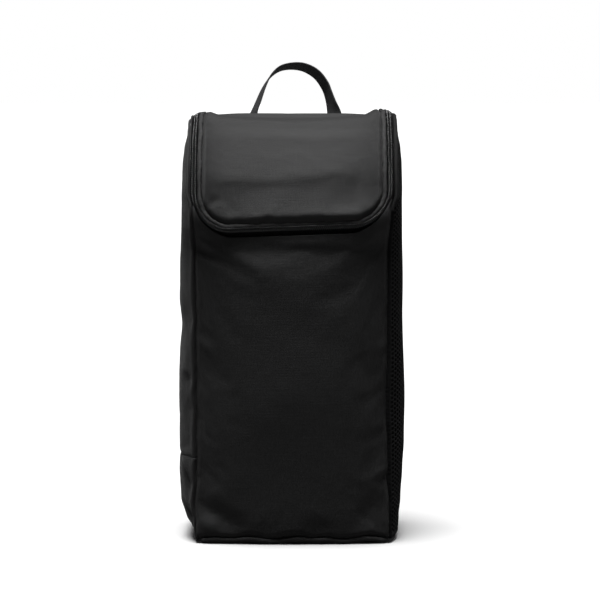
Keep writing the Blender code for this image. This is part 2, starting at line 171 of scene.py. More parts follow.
def cloth_coordinates(tree):
    """The cloth's own coordinates, in metres across and along it."""
    source = tree.nodes.new("ShaderNodeUVMap")
    source.uv_map = "cloth"
    split = tree.nodes.new("ShaderNodeSeparateXYZ")
    tree.links.new(source.outputs["UV"], split.inputs[0])
    return split.outputs[0], split.outputs[1]


def noise_at(tree, place, scale, detail):
    texture = tree.nodes.new("ShaderNodeTexNoise")
    texture.inputs["Scale"].default_value = scale
    texture.inputs["Detail"].default_value = detail
    tree.links.new(place, texture.inputs["Vector"])
    return texture.outputs["Fac"]


def stretched_noise(tree, u, v, u_scale, v_scale, detail=2.0):
    """Noise in the cloth's own coordinates, finer one way than the other."""
    both = tree.nodes.new("ShaderNodeCombineXYZ")
    tree.links.new(calc(tree, "MULTIPLY", u, u_scale), both.inputs[0])
    tree.links.new(calc(tree, "MULTIPLY", v, v_scale), both.inputs[1])
    return noise_at(tree, both.outputs[0], 1.0, detail)


def object_noise(tree, scale, detail=3.0):
    coordinates = tree.nodes.new("ShaderNodeTexCoord")
    return noise_at(tree, coordinates.outputs["Object"], scale, detail)


def colour_between(tree, factor, dark, light):
    ramp = tree.nodes.new("ShaderNodeValToRGB")
    ramp.color_ramp.elements[0].color = (*dark, 1)
    ramp.color_ramp.elements[0].position = 0.25
    ramp.color_ramp.elements[1].color = (*light, 1)
    ramp.color_ramp.elements[1].position = 0.75
    tree.links.new(factor, ramp.inputs[0])
    return ramp.outputs[0]


def turns(tree, coordinate, pitch):
    """The angle of a pattern that repeats at each pitch."""
    return calc(tree, "MULTIPLY", coordinate, 2 * math.pi / pitch)


def bump(tree, shader, height, distance, strength):
    node = tree.nodes.new("ShaderNodeBump")
    node.inputs["Distance"].default_value = distance
    node.inputs["Strength"].default_value = strength
    tree.links.new(height, node.inputs["Height"])
    tree.links.new(node.outputs[0], shader.inputs["Normal"])


def ramped(tree, value, low, high):
    node = tree.nodes.new("ShaderNodeMapRange")
    node.inputs["To Min"].default_value = low
    node.inputs["To Max"].default_value = high
    tree.links.new(value, node.inputs["Value"])
    return node.outputs[0]


def paint(tree, shader, tone, dark, light, blotches, rough):
    """Colours the shader between two tones, and sets its roughness between two values."""
    tree.links.new(colour_between(tree, tone, dark, light), shader.inputs["Base Color"])
    tree.links.new(ramped(tree, blotches, *rough), shader.inputs["Roughness"])


def woven_nylon(name, dark, light, pitch=0.00062, sheen=0.12, rough=(0.54, 0.66), specular=0.5):
    """Plain weave: crossed threads, slubs along both, and slow mottling."""
    material, tree, shader = new_material(name, 0.6, specular=specular, sheen=sheen)
    u, v = cloth_coordinates(tree)
    warp = calc(tree, "SINE", turns(tree, u, pitch))
    weft = calc(tree, "SINE", turns(tree, v, pitch))
    weave = calc(tree, "MULTIPLY", warp, weft)
    slub_up = stretched_noise(tree, u, v, 760, 90)
    slub_across = stretched_noise(tree, u, v, 90, 760)
    slubs = calc(tree, "ADD", slub_up, slub_across)
    mottle = stretched_noise(tree, u, v, 26, 26, 4.0)
    tone = calc(tree, "MULTIPLY_ADD", slubs, 0.4, calc(tree, "MULTIPLY", mottle, 0.2))
    tone = calc(tree, "MULTIPLY_ADD", weave, 0.05, tone)
    paint(tree, shader, tone, dark, light, mottle, rough)
    height = calc(tree, "MULTIPLY_ADD", weave, 0.35, slubs)
    bump(tree, shader, height, 0.00018, 0.9)
    return material


def ribbed_tape(name, dark, light, rib=0.0009, rough=(0.62, 0.78), sheen=0.15, specular=0.5):
    """Woven tape: ribs along it, crossed by the weft."""
    material, tree, shader = new_material(name, 0.7, sheen=sheen, specular=specular)
    u, v = cloth_coordinates(tree)
    ribs = calc(tree, "SINE", turns(tree, v, rib))
    weft = calc(tree, "SINE", turns(tree, u, 0.0008))
    slubs = stretched_noise(tree, u, v, 500, 900)
    height = calc(tree, "MULTIPLY_ADD", weft, 0.4, ribs)
    tone = calc(tree, "MULTIPLY_ADD", height, 0.16, slubs)
    paint(tree, shader, tone, dark, light, slubs, rough)
    bump(tree, shader, height, 0.00018, 0.9)
    return material


def webbing(name, dark, light):
    """Heavy webbing: a broken twill of fat yarns."""
    material, tree, shader = new_material(name, 0.65, specular=0.35, sheen=0.05)
    u, v = cloth_coordinates(tree)
    across, along = turns(tree, u, 0.0022), turns(tree, v, 0.0022)
    lean = calc(tree, "SINE", calc(tree, "ADD", across, along))
    back = calc(tree, "SINE", calc(tree, "SUBTRACT", across, along))
    yarns = calc(tree, "MULTIPLY", lean, back)
    slubs = stretched_noise(tree, u, v, 300, 300, 3.0)
    tone = calc(tree, "MULTIPLY_ADD", yarns, 0.22, slubs)
    paint(tree, shader, tone, dark, light, slubs, (0.55, 0.75))
    bump(tree, shader, yarns, 0.0003, 0.9)
    return material


def knit(name, dark, light, rough):
    """Knitted face of the mesh: fine diagonal courses between the holes."""
    material, tree, shader = new_material(name, 0.8, specular=0.15, sheen=0.03)
    u, v = cloth_coordinates(tree)
    courses = calc(tree, "SINE", calc(tree, "ADD", turns(tree, u, 0.0011), turns(tree, v, 0.0016)))
    fuzz = stretched_noise(tree, u, v, 700, 700, 3.0)
    tone = calc(tree, "MULTIPLY_ADD", courses, 0.2, fuzz)
    paint(tree, shader, tone, dark, light, fuzz, rough)
    bump(tree, shader, courses, 0.0002, 0.8)
    return material


def coil_plastic(name, dark, light):
    material, tree, shader = new_material(name, 0.25, specular=0.8)
    cloudy = object_noise(tree, 420)
    paint(tree, shader, cloudy, dark, light, cloudy, (0.16, 0.3))
    bump(tree, shader, cloudy, 0.00005, 0.5)
    return material


def painted_zinc(name):
    """Black paint, slightly orange-peeled, rubbed through to grey metal in places."""
    material, tree, shader = new_material(name, 0.35, metallic=1.0)
    wear = object_noise(tree, 700, 6.0)
    blotches = object_noise(tree, 260)
    paint(tree, shader, wear, (0.02, 0.02, 0.021), (0.075, 0.075, 0.078), blotches, (0.26, 0.5))
    bump(tree, shader, object_noise(tree, 1500, 1.0), 0.00004, 0.6)
    return material


NYLON = woven_nylon("nylon_cloth", (0.003, 0.003, 0.0032), (0.012, 0.012, 0.0126))
# a darker copy of the nylon for the right gusset's binding: painted shade on the side turned from the light
SHADED_EDGE_CLOTH = woven_nylon("edge_cloth_painted_shade", (0.0014, 0.0014, 0.0015), (0.0046, 0.0046, 0.0049), sheen=0.02,
                         specular=0.22)
# black zip tape, made darker than the nylon as painted shade for the shadow under the lid's lower edge
BLACK_TAPE_PAINTED_SHADE = ribbed_tape("zip_tape_weave_painted_shade", (0.0022, 0.0022, 0.0024), (0.007, 0.007, 0.0073), sheen=0.02,
                   specular=0.25)
BINDING = ribbed_tape("binding_weave", (0.01, 0.01, 0.0105), (0.022, 0.022, 0.023), 0.0014)
WEBBING = webbing("webbing_weave", (0.016, 0.016, 0.017), (0.046, 0.046, 0.048))
MESH_FACE = knit("mesh_knit", (0.005, 0.005, 0.0053), (0.02, 0.02, 0.021), (0.74, 0.9))
# near black knit for the hollows' deep walls and floors: painted shade in the hollows
MESH_HOLE_SHADE = knit("mesh_hole_painted_shade", (0.0008, 0.0008, 0.0009), (0.003, 0.003, 0.0031), (0.92, 0.98))
COIL = coil_plastic("coil_plastic", (0.01, 0.01, 0.0105), (0.028, 0.028, 0.029))
ZINC = painted_zinc("painted_zinc_worn")
THREAD = coil_plastic("sewing_thread", (0.012, 0.012, 0.013), (0.034, 0.034, 0.036))
CHAIN_THREAD = coil_plastic("chain_thread", (0.002, 0.002, 0.0021), (0.007, 0.007, 0.0073))


# ---- mesh building
def mesh_object(name, points, faces, uvs, material):
    """uvs holds one (u, v) in metres for each point."""
    mesh = bpy.data.meshes.new(name)
    mesh.from_pydata([tuple(p) for p in points], [], faces)
    layer = mesh.uv_layers.new(name="cloth")
    for loop in mesh.loops:
        layer.data[loop.index].uv = uvs[loop.vertex_index]
    mesh.shade_smooth()
    mesh.validate()
    obj = bpy.data.objects.new(name, mesh)
    bpy.context.scene.collection.objects.link(obj)
    mesh.materials.append(material)
    return obj


def grid_faces(columns, rows):
    stride = columns + 1
    return [
        (j * stride + i, j * stride + i + 1, (j + 1) * stride + i + 1, (j + 1) * stride + i)
        for j in range(rows)
        for i in range(columns)
    ]


def cloth_grid(name, columns, rows, place, size, material):
    """A cloth sheet on a grid: (u, v), each 0 to 1, goes to place(u, v). size is in metres."""
    steps = [(i / columns, j / rows) for j in range(rows + 1) for i in range(columns + 1)]
    points = [place(u, v) for u, v in steps]
    uvs = [(u * size[0], v * size[1]) for u, v in steps]
    return mesh_object(name, points, grid_faces(columns, rows), uvs, material)


def thicken(obj, thickness, subdivisions=0):
    """Gives a sheet its thickness, to both sides alike."""
    if subdivisions:
        finer = obj.modifiers.new("finer", "SUBSURF")
        finer.levels = subdivisions
        finer.render_levels = subdivisions
        finer.uv_smooth = "PRESERVE_BOUNDARIES"
    shell = obj.modifiers.new("cloth_thickness", "SOLIDIFY")
    shell.thickness = thickness
    shell.offset = 0.0
    shell.use_even_offset = True


def sweep(name, centres, across, half_width, half_height, material, sides=10, closed=False):
    """A soft roll of oval section. across holds the wide direction at each point, and the two
    half sizes are numbers or one value for each point."""
    centres = np.array([tuple(c) for c in centres])
    across = np.array([tuple(a) for a in across])
    if closed:
        run = np.roll(centres, -1, 0) - np.roll(centres, 1, 0)
    else:
        run = np.gradient(centres, axis=0)
    run /= np.linalg.norm(run, axis=1)[:, None]
    across = across - run * (across * run).sum(1)[:, None]
    across /= np.linalg.norm(across, axis=1)[:, None]
    up = np.cross(run, across)
    count = len(centres)
    wide = np.broadcast_to(half_width, count)
    tall = np.broadcast_to(half_height, count)
    turns = np.arange(sides) * 2 * math.pi / sides
    rings = (
        centres[:, None, :]
        + across[:, None, :] * (wide[:, None] * np.cos(turns))[:, :, None]
        + up[:, None, :] * (tall[:, None] * np.sin(turns))[:, :, None]
    )
    length = np.concatenate([[0], np.cumsum(np.linalg.norm(np.diff(centres, axis=0), axis=1))])
    girth = 2 * math.pi * float(np.mean(wide))
    uvs = [(length[i], girth * j / sides) for i in range(count) for j in range(sides)]
    faces = []
    for i in range(count if closed else count - 1):
        after = (i + 1) % count
        for j in range(sides):
            k = (j + 1) % sides
            faces.append((i * sides + j, i * sides + k, after * sides + k, after * sides + j))
    if not closed:
        faces.append(tuple(range(sides))[::-1])
        faces.append(tuple((count - 1) * sides + j for j in range(sides)))
    return mesh_object(name, rings.reshape(-1, 3), faces, uvs, material)


def settle(obj, body, slot, *nodes):
    """Puts a piece on its body and hides the CAD nodes that it stands for; its slot is not used."""
    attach(obj, body)
    if nodes:
        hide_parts(*nodes)


def join(name, parts):
    """Merges separate meshes into one object."""
    points, faces, uvs = [], [], []
    for part in parts:
        start = len(points)
        points += [tuple(v.co) for v in part.data.vertices]
        faces += [tuple(start + i for i in face.vertices) for face in part.data.polygons]
        own = [(0.0, 0.0)] * len(part.data.vertices)
        for loop in part.data.loops:
            own[loop.vertex_index] = tuple(part.data.uv_layers["cloth"].data[loop.index].uv)
        uvs += own
    material = parts[0].data.materials[0]
    for part in parts:
        bpy.data.objects.remove(part)
    return mesh_object(name, points, faces, uvs, material)


# ---- the surface that the zip lies in
LEAN_PEAK = 0.58    # how far down the lean its slope is greatest
LEAN_STEPS = np.linspace(0, 1, 500)
LEAN_SLOPE = [
    math.sin(math.pi / 2 * min(1.0, t / LEAN_PEAK)) * mix(1.0, 0.67, max(0.0, t - LEAN_PEAK) / 0.42)
    for t in LEAN_STEPS
]
LEAN_SHARE = np.cumsum(LEAN_SLOPE) / np.sum(LEAN_SLOPE)


def lean_out(along):
    """How far the lid's front stands out: a sunken shoulder, then a slope that grows and eases."""
    t = (along - LEAN_START) / (ZIP_BOTTOM - LEAN_START)
    sink = smooth((along - CURVE_START - 0.005) / 0.03)
    return LEAN_OUT * np.interp(t, LEAN_STEPS, LEAN_SHARE) - SHOULDER_SINK * sink


def ridge_lift(x, along):
    """The zip stands up a little along the top's two sides, more so at the right."""
    window = smooth((along - 0.011) / 0.014) * (1 - smooth((along - 0.05) / 0.055))
    near_side = smooth((abs(x) - 0.062) / 0.018)
    past = min(1.15, max(0.0, abs(x) - 0.0835) / 0.0078)
    height, drop = (0.0066, 0.0034) if x > 0 else (0.004, 0.005)
    return (height * near_side - drop * past * past) * window


def profile(along):
    """(y, z) of the zip's plane at a length from the hinge line forwards and down."""
    lean = lean_out(along)
    if along <= CURVE_START:
        return ZIP_FRONT - along, ZIP_TOP
    if along >= CURVE_END:
        return -ZIP_FRONT - lean, SHOULDER_Z - (along - CURVE_END)
    turn = (along - CURVE_START) / SHOULDER
    return -SHOULDER * math.sin(turn) - lean, SHOULDER_Z + SHOULDER * math.cos(turn)


def skin_side(along, out):
    """(y, z) beside the zip's plane, moved out from it."""
    y, z = profile(along)
    y1, z1 = profile(along - 0.0005)
    y2, z2 = profile(along + 0.0005)
    length = math.hypot(y2 - y1, z2 - z1)
    return y + out * (z2 - z1) / length, z - out * (y2 - y1) / length


def on_skin(x, along, out=0.0):
    """A point on the visual zip plane, moved out from it."""
    out += ridge_lift(x, along)
    along -= LOWER_EDGE_TILT * x * smooth((along - ZIP_BOTTOM + 0.07) / 0.07)
    return Vector((x, *skin_side(along, out)))


def chain_x(along):
    """The chain's distance from the middle: in line with the slider, and then a little wider."""
    return mix(CHAIN_X, WIDE_X, smooth((along - 0.018) / 0.022))


def zip_path(start_left, start_right, spacing):
    """The middle of the chain as evenly spaced (x, along) with the direction into the lid."""
    turn = ZIP_BOTTOM - CHAIN_CORNER
    flat = WIDE_X - CHAIN_CORNER
    left = [mix(start_left, turn, i / 200) for i in range(200)]
    right = [mix(turn, start_right, i / 200) for i in range(201)]
    points = [(-chain_x(along), along) for along in left]
    for i in range(100):
        angle = math.pi / 2 * i / 100
        points.append((-flat - CHAIN_CORNER * math.cos(angle), turn + CHAIN_CORNER * math.sin(angle)))
    points += [(mix(-flat, flat, i / 100), ZIP_BOTTOM) for i in range(100)]
    for i in range(100):
        angle = math.pi / 2 * (1 - i / 100)
        points.append((flat + CHAIN_CORNER * math.cos(angle), turn + CHAIN_CORNER * math.sin(angle)))
    points += [(chain_x(along), along) for along in right]
    points = np.array(points)
    length = np.concatenate([[0], np.cumsum(np.linalg.norm(np.diff(points, axis=0), axis=1))])
    count = max(2, round(length[-1] / spacing))
    even = np.linspace(0, length[-1], count + 1)
    path = np.stack([np.interp(even, length, points[:, k]) for k in (0, 1)], axis=1)
    run = np.gradient(path, axis=0)
    run /= np.linalg.norm(run, axis=1)[:, None]
    inward = np.stack([run[:, 1], -run[:, 0]], axis=1)
    return path, inward, even


def corner_share(along):
    """0 beside the gussets, 1 across the front, changing round the corners."""
    return smooth((along - (ZIP_BOTTOM - CHAIN_CORNER)) / (0.85 * CHAIN_CORNER))


def bulge(x, z):
    """How far the filled bag pushes its front panel out."""
    across = 1 - min(1.0, abs(x) / 0.086) ** 2.2
    up = mix(0.5, 1.0, smooth(z / 0.15)) * mix(1.0, 0.84, smooth((z - 0.232) / 0.05))
    return BULGE * across * up


def bag_tape_point(x, along, inward, offset, out=0.0):
    """The bag side of the zip: below the lid's front it steps and slopes back to the front panel."""
    share = corner_share(along)
    reach = offset * mix(1.0, FRONT_TAPE_WIDTH / SIDE_TAPE_WIDTH, share)
    point = on_skin(x - inward[0] * reach, along - inward[1] * reach, out)
    slope = max(0.0, offset) / SIDE_TAPE_WIDTH
    step = 0.0042 * smooth((offset + 0.001) / 0.0026)
    fall = max(0.0, OVERHANG - 0.0048 - bulge(x, CHAIN_BOTTOM_Z))
    point.y += share * (slope * fall + step)
    return point


def lid_zip_point(x, along, inward, offset, out=0.0):
    """The lid side of the zip, which lies in the zip's surface."""
    return on_skin(x + inward[0] * offset, along + inward[1] * offset, out)


# ---- zip
REAR = 0.002             # the tapes and the facing start this far in front of the hinge line
TAPE_INNER = 0.0024      # the tapes start this far from the middle of the chain
LID_TAPE_OUTER = 0.0118  # and the lid's tape ends here, under the lid
LID_CHAIN_START = (0.005, SLIDER_FRONT)
BAG_CHAIN_START = (0.005, 0.005)


def tape(name, starts, outer, point_at):
    path, inward, even = zip_path(*starts, 0.003)
    columns, rows = len(path) - 1, 6

    def place(u, v):
        i = round(u * columns)
        return point_at(*path[i], inward[i], mix(TAPE_INNER, outer, v))

    obj = cloth_grid(name, columns, rows, place, (even[-1], outer - TAPE_INNER), BLACK_TAPE_PAINTED_SHADE)
    thicken(obj, CLOTH)
    return obj


def chain_rise(along):
    """The coil sits flat inside the parked slider, and proud of the tape everywhere else."""
    return 0.001 * smooth((along - 0.013) / 0.01)


def chain(name, starts, point_at, phase):
    """Half the chain: a coil whose loops pass the middle and lock with the other half's."""
    steps = 9
    path, inward, even = zip_path(*starts, TOOTH_PITCH / steps)
    centres, across, wire = [], [], []
    for i, ((x, along), side) in enumerate(zip(path, inward)):
        angle = 2 * math.pi * (i / steps + phase)
        offset = 0.00135 + 0.00155 * math.cos(angle)
        out = 0.001 * math.sin(angle) + chain_rise(along)
        if point_at is lid_zip_point:
            out += 0.0009 * corner_share(along)
        centres.append(point_at(x, along, side, offset, out))
        across.append(Vector((0, 0.3, 1)))
        head = max(0.0, math.cos(angle - math.pi * 0.86))
        wire.append(0.0003 + 0.00008 * math.sin(angle) + 0.00018 * head ** 4)
    wire = np.array(wire)
    return sweep(name, centres, across, wire, wire, COIL, sides=6)


def chain_stitches(name, starts, point_at):
    """Two rows of thread that hold the coil to its tape."""
    rows = []
    for offset in (0.0032, 0.0038):
        path, inward, even = zip_path(*starts, 0.0004)
        centres, across = [], []
        for i, ((x, along), side) in enumerate(zip(path, inward)):
            out = 0.00048 + 0.00012 * math.cos(2 * math.pi * even[i] / TOOTH_PITCH)
            centres.append(point_at(x, along, side, offset, out))
            across.append(Vector((1, 0.3, 0.4)))
        rows.append(sweep("row", centres, across, 0.00012, 0.0001, CHAIN_THREAD, sides=5))
    return join(name, rows)


def build_zip():
    bag_tape = tape("bag_tape", (REAR, REAR), SIDE_TAPE_WIDTH, bag_tape_point)
    settle(bag_tape, "bag", "zip_tape", "bag_zip_tape")
    lid_tape = tape("lid_tape", (REAR + 0.002, SLIDER_FRONT), LID_TAPE_OUTER, lid_zip_point)
    settle(lid_tape, "lid", "zip_tape", "lid_zip_tape")
    bag_coil = chain("bag_coil", BAG_CHAIN_START, bag_tape_point, 0.0)
    settle(bag_coil, "bag", "zip_coil", "bag_zip_coil")
    lid_coil = chain("lid_coil", LID_CHAIN_START, lid_zip_point, 0.5)
    settle(lid_coil, "lid", "zip_coil", "lid_zip_coil")
    settle(chain_stitches("bag_coil_stitches", BAG_CHAIN_START, bag_tape_point), "bag", "zip_coil")
    settle(chain_stitches("lid_coil_stitches", LID_CHAIN_START, lid_zip_point), "lid", "zip_coil")


# ---- lid
def cloth_relax(obj, pinned, growth, pressure, gravity, frames=24, cap=0.008, bending=0.6):
    """Lets a grid of cloth, a little larger than the frame that it is sewn into, find its folds."""
    rest = np.array([tuple(v.co) for v in obj.data.vertices])
    group = obj.vertex_groups.new(name="sewn")
    group.add(pinned, 1.0, "REPLACE")
    cloth = obj.modifiers.new("relax", "CLOTH")
    settings = cloth.settings
    settings.quality = 6
    settings.mass = 0.05
    settings.tension_stiffness = 18
    settings.compression_stiffness = 14
    settings.shear_stiffness = 8
    settings.bending_stiffness = bending
    settings.tension_damping = 12
    settings.bending_damping = 1.0
    settings.air_damping = 2.0
    settings.vertex_group_mass = "sewn"
    settings.shrink_min = -growth
    settings.use_pressure = pressure != 0
    settings.uniform_pressure_force = pressure
    settings.effector_weights.gravity = gravity
    cloth.point_cache.frame_start = 1
    cloth.point_cache.frame_end = frames
    scene = bpy.context.scene
    scene.frame_start = 1
    scene.frame_end = frames
    for step in range(1, frames + 1):
        scene.frame_set(step)
    graph = bpy.context.evaluated_depsgraph_get()
    settled = np.array([tuple(v.co) for v in obj.evaluated_get(graph).data.vertices])
    obj.modifiers.remove(cloth)
    scene.frame_set(1)
    move = settled - rest
    length = np.linalg.norm(move, axis=1)
    length[length < 1e-9] = 1e-9
    share = np.tanh(length / cap) * cap / length
    for vertex, start, step in zip(obj.data.vertices, rest, move * share[:, None]):
        vertex.co = start + step


def border(columns, rows):
    """Point numbers of a grid's four edges."""
    stride = columns + 1
    return sorted({
        j * stride + i
        for j in range(rows + 1)
        for i in range(columns + 1)
        if i in (0, columns) or j in (0, rows)
    })


LID_WRAP = 0.007   # the lid's cloth runs this far down the back, past the hinge


def build_lid():
    side = WIDE_X - LID_EDGE
    corner = CHAIN_CORNER - LID_EDGE
    turn = ZIP_BOTTOM - CHAIN_CORNER
    columns, rows = 64, 96

    def place(u, v):
        across = 2 * crowd(u, 1.5) - 1
        wrap_rows = 3 / rows
        if v < wrap_rows:
            drop = LID_WRAP * (1 - v / wrap_rows)
            return Vector((across * side, BACK_Y + 0.0008, TOP_Z - 0.0018 - drop))
        v = (v - wrap_rows) / (1 - wrap_rows)
        bottom_half = side - corner
        x = across * side
        excess = max(0.0, abs(x) - bottom_half)
        edge = turn + (1 + LID_DROP / corner) * math.sqrt(max(0.0, corner * corner - excess * excess))
        v = v ** 0.92
        along = mix(-0.0004, edge, v)
        room = min((1 - abs(across)) * side, edge - along)
        side_room = (1 - abs(across)) * side
        puff = 0.0034 * (1 - bell(side_room, 0.0018))
        puff *= 1 - bell(edge - along, 0.0032)
        x *= 1 - 0.017 * (1 - smooth((along - 0.018) / 0.022))
        puff += 0.0012 * smooth(side_room / 0.035)
        puff += 0.0007 * ripple(x, along, 150, 14) * math.exp(-room / 0.006)
        puff += 0.0006 * ripple(x, along, 340, 15) * math.exp(-room / 0.004)
        sag = 0.0034 * (1 - across * across) * (1 - smooth((along - 0.045) / 0.08))
        sag *= smooth(v / 0.1)
        return on_skin(x, along, puff - sag)

    lid = cloth_grid("lid_cloth", columns, rows, place, (2 * side, 0.238), NYLON)
    cloth_relax(lid, border(columns, rows), 0.0012, 0.8, 0.0, bending=2.4, cap=0.002)
    crease(lid, LID_FOLDS, lambda co: (co.x, co.z), Vector((0, -0.8, 0.6)))
    thicken(lid, CLOTH, 1)
    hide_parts("lid_panel")
    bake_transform(lid)
    build_facing()


def crease(obj, folds, flat, direction):
    """Adds listed folds. Each is (a, b, length, width, degrees, height), in millimetres, in the
    plane that flat gives; it runs along the angle, and a negative height is a dent."""
    for vertex in obj.data.vertices:
        a, b = (1000 * value for value in flat(vertex.co))
        total = 0.0
        for at_a, at_b, length, width, degrees, height in folds:
            c, s = math.cos(math.radians(degrees)), math.sin(math.radians(degrees))
            run = (a - at_a) * c + (b - at_b) * s
            side = (b - at_b) * c - (a - at_a) * s
            total += height * math.exp(-((run / length) ** 2) - (side / width) ** 2)
        vertex.co += direction * (total / 1000)


LID_FOLDS = (
    (50, 289, 30, 13, 6, 1.8),
    (54, 313, 24, 13, 20, -1.2),
    (-54, 291, 22, 13, -30, -1.4),
    (-52, 322, 26, 14, -20, 0.8),
    (-4, 298, 45, 16, 4, 1),
    (-10, 309, 26, 12, 38, 0.7),
    (30, 312, 20, 10, 44, 0.6),
    (-44, 330, 24, 12, 24, 0.5),
    (-8, 352, 40, 14, 20, -0.6),
    (-62, 300, 10, 5, -45, 0.8),
    (62, 330, 12, 7, 80, -1.2),
    (24, 284, 6, 3, 60, -1),
    (36, 285, 6, 3, 110, -1),
    (8, 284, 6, 3, 80, -0.9),
    (-14, 284, 6, 3, 100, -1),
    (-30, 285, 7, 3, 70, -0.9),
    (64, 295, 7, 3, 130, -1),
    (-70, 306, 7, 3, 30, -1),
)


def facing_radius(even, seed):
    """The gathered facing swells and narrows between its stitches."""
    pucker = 2 * math.pi / 0.0045
    return np.array([
        1.0 + 0.12 * ripple(s, 0, 160, seed) + 0.14 * ripple(s, 1, 420, seed) + 0.07 * math.sin(pucker * s)
        for s in even
    ])


def build_facing():
    """The rolled facing along the lid's edge, gathered a little by its stitches."""
    path, inward, even = zip_path(REAR, REAR, 0.0011)
    centres, across = [], []
    for i, ((x, along), side) in enumerate(zip(path, inward)):
        shift = 0.0006 * ripple(even[i], 0, 70, 3)
        rise = 0.0013 + 0.0006 * ripple(even[i], 0, 130, 4)
        middle = mix(FACING, FRONT_FACING, corner_share(along))
        twist = 0.0008 * ripple(even[i], 0, 210, 17)
        near = lid_zip_point(x, along, side, middle - 0.001, rise - twist)
        far = lid_zip_point(x, along, side, middle + 0.001, rise + twist)
        centres.append(lid_zip_point(x, along, side, middle + shift, rise))
        across.append(far - near)
    swell = facing_radius(even, 5)
    facing = sweep("lid_facing", centres, across, 0.0019 * swell, 0.00125 * swell, NYLON, sides=14)
    settle(facing, "lid", "nylon", "lid_piping")


# ---- panels
def seam_x(side, z):
    return along_curve(LEFT_SEAM if side < 0 else RIGHT_SEAM, z)


def widest_x(side, z):
    return along_curve(LEFT_SIDE if side < 0 else RIGHT_SIDE, z)


def lean_at(z):
    """How far the front edge stands out at a height, beside the lid's lower part."""
    return lean_out(CURVE_END + SHOULDER_Z - z)


def front_y(z):
    """The front seam's place: out beside the lid, and back in below it."""
    lean = lean_at(max(z, CHAIN_BOTTOM_Z)) * smooth((z - MOUTH_Z) / 0.04)
    return FRONT_Y + INSET - lean


FRONT_FOLDS = (
    (-74, 267.5, 10, 2.8, -32, 2.4),
    (-78, 260, 12, 3, -38, -2),
    (-70, 252, 14, 4, -30, 1.4),
    (-32, 249, 38, 18, 2, 2),
    (79, 178, 7, 4, 20, 1),
    (73, 136, 18, 6, 48, -1.6),
    (79, 144, 10, 4, 40, 0.8),
    (75, 99, 12, 5, 28, -1.3),
    (79, 65, 7, 2.6, 30, 1.2),
    (80, 59, 7, 2.4, 24, -1.2),
    (68, 33, 18, 8, 62, -2),
    (78, 18, 10, 8, 60, 0.6),
    (-62, 26, 26, 8.5, -34, -2.8),
    (-76, 17, 8, 7, -30, 1.4),
    (-78, 180, 8, 3, -48, 1.4),
    (-74, 64, 14, 4, -50, -1.4),
    (30, 16, 18, 9, 0, -0.7),
    (20, 190, 60, 20, -30, -1),
    (-30, 120, 60, 26, 20, 1),
)
FRONT_FOOT = 0.0052      # height of the front panel's lower edge
FRONT_HALF_X = 0.0902    # half the front panel's width at its top
FRONT_LIMIT_Z = 0.3135   # the front panel's top corners end at this height


def base_wave(x):
    """The base seam's height along the front, as it waves over the floor."""
    wave = 0.0006 * math.sin(2 * math.pi * x / 0.057 + 0.6)
    wave += 0.0005 * math.sin(2 * math.pi * x / 0.034 + 2.1)
    return wave + 0.0008 * ripple(x, 0, 60, 6) + 0.0007


def u_edge(x, inset):
    """Height of the U at x, moved out from the chain by inset."""
    corner = CHAIN_CORNER + inset
    flat = WIDE_X - CHAIN_CORNER
    excess = min(corner, max(0.0, abs(x) - flat))
    z = CHAIN_BOTTOM_Z + CHAIN_CORNER - math.sqrt(corner * corner - excess * excess)
    return z + LOWER_EDGE_TILT * x


def build_front():
    columns, rows = 62, 96
    inset = FRONT_TAPE_WIDTH - 0.0015

    def place(u, v):
        share = 2 * crowd(u, 1.7) - 1
        nominal = share * FRONT_HALF_X
        beside_lid = smooth((abs(nominal) - 0.055) / 0.03)
        top = min(u_edge(nominal, mix(inset, SIDE_TAPE_WIDTH - 0.001, beside_lid)), FRONT_LIMIT_Z)
        z = mix(FRONT_FOOT, top, crowd(v, 1.0))
        side = 1 if share > 0 else -1
        x = share * seam_x(side, z)
        room = (1 - abs(share)) * 0.088
        z += base_wave(x) * (1 - smooth((z - FRONT_FOOT) / 0.012))
        foot = z - FRONT_FOOT - base_wave(x)
        tuck = SEAM_TUCK * bell(room, SEAM_ROLL)
        tuck = max(tuck, 0.003 * bell(foot, 0.002))
        belly = bulge(x, z)
        lift = 0.0012 * smooth(room / 0.03) * smooth((top - z) / 0.01)
        wave = 0.0007 * ripple(x, z, 22, 1) * smooth(room / 0.02)
        return Vector((x, front_y(z) + tuck - belly - lift - wave, z))

    front = cloth_grid("front_cloth", columns, rows, place, (0.176, 0.3), NYLON)
    cloth_relax(front, border(columns, rows), 0.0028, 0.5, 0.04, bending=2.0)
    crease(front, FRONT_FOLDS, lambda co: (co.x, co.z), Vector((0, -1, 0)))
    thicken(front, CLOTH, 1)
    settle(front, "bag", "nylon", "front_panel")


ARC_SHARE = 0.26    # the part of a gusset's rows that is spent on the shoulder's curve


